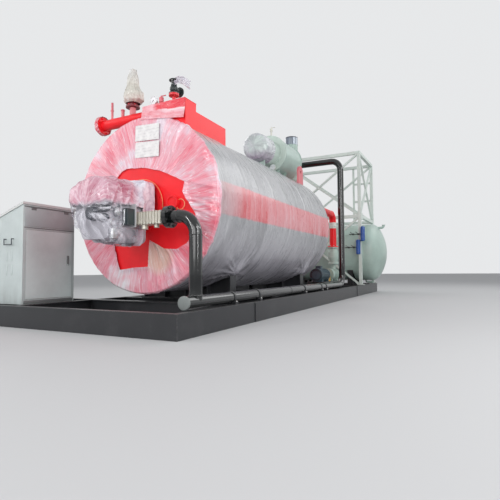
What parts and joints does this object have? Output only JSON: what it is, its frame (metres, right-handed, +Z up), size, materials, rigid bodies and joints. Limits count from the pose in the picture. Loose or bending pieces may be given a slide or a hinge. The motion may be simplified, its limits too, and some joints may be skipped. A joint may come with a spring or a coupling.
{
  "type": "packaged steam boiler",
  "caption": "Horizontal gas-fired steam boiler on a channel skid, with burner, gas line, economizer, feed pump, water tank in a braced frame and control desk.",
  "frame": {"origin": "middle of the main skid's underside, on the underside of the middle cross beam", "axes": "+Z up, +Y along the skid from the burner to the water tank, +X to the gas pipe's side"},
  "size_m": [3.6456, 9.8, 3.82],
  "materials": {
    "skid_black": "semi-gloss black enamel",
    "cladding_grey": "grey sheet cladding under stretch film",
    "boiler_red": "gloss red enamel",
    "valve_pale": "pale paint under film",
    "handwheel_black": "gloss black",
    "burner_grey": "light grey paint under film",
    "drive_dark": "dark blue-grey paint",
    "gas_valve_aluminium": "cast aluminium",
    "gas_black": "gloss black enamel",
    "mint_paint": "pale green machine paint",
    "collar_zinc": "bare zinc-coated sheet",
    "guard_yellow": "yellow paint",
    "level_blue": "blue paint",
    "frame_white": "white paint",
    "desk_grey": "light grey powder coat"
  },
  "bodies": {
    "root": {"skid_side_rails": "skid_black", "skid_end_beams": "skid_black", "skid_cross_beams": "skid_black", "desk_outrigger": "skid_black", "rail_plates": "skid_black", "boiler_saddles": "skid_black", "shell_cladding": "cladding_grey", "front_plate": "boiler_red", "sight_port": "boiler_red", "rear_cover": "boiler_red", "lifting_lugs": "boiler_red", "valve_box": "boiler_red", "steam_header": "boiler_red", "header_stubs": "boiler_red", "safety_valve": "valve_pale", "main_steam_valve": "boiler_red", "steam_handwheel": "handwheel_black", "pressure_gauge": "valve_pale", "air_valve": "valve_pale", "burner_ring": "boiler_red", "burner_head": "burner_grey", "burner_housing": "burner_grey", "burner_air_cover": "burner_grey", "burner_motor": "drive_dark", "burner_actuator": "drive_dark", "gas_valve": "gas_valve_aluminium", "gas_flanges": "gas_black", "gas_bends": "gas_black", "gas_pipes": "gas_black", "gas_pipe_clamps": "skid_black", "economizer_drum": "mint_paint", "economizer_cover": "cladding_grey", "economizer_feet": "mint_paint", "economizer_fittings": "valve_pale", "flue_elbow": "mint_paint", "stack_pipe": "mint_paint", "stack_collar": "collar_zinc", "pump_plinth": "skid_black", "pump_motor": "drive_dark", "pump_coupling": "guard_yellow", "feed_pump": "mint_paint", "feed_pipe": "boiler_red", "suction_pipe": "mint_paint", "tank_shell": "mint_paint", "tank_ends": "mint_paint", "tank_saddles": "skid_black", "tank_nozzles": "mint_paint", "level_columns": "level_blue", "frame_posts": "frame_white", "frame_rails": "frame_white", "frame_side_braces": "frame_white", "frame_end_braces": "frame_white", "frame_gussets": "frame_white", "desk_body": "desk_grey", "desk_lid": "desk_grey", "desk_door": "desk_grey"}
  },
  "joints": []
}
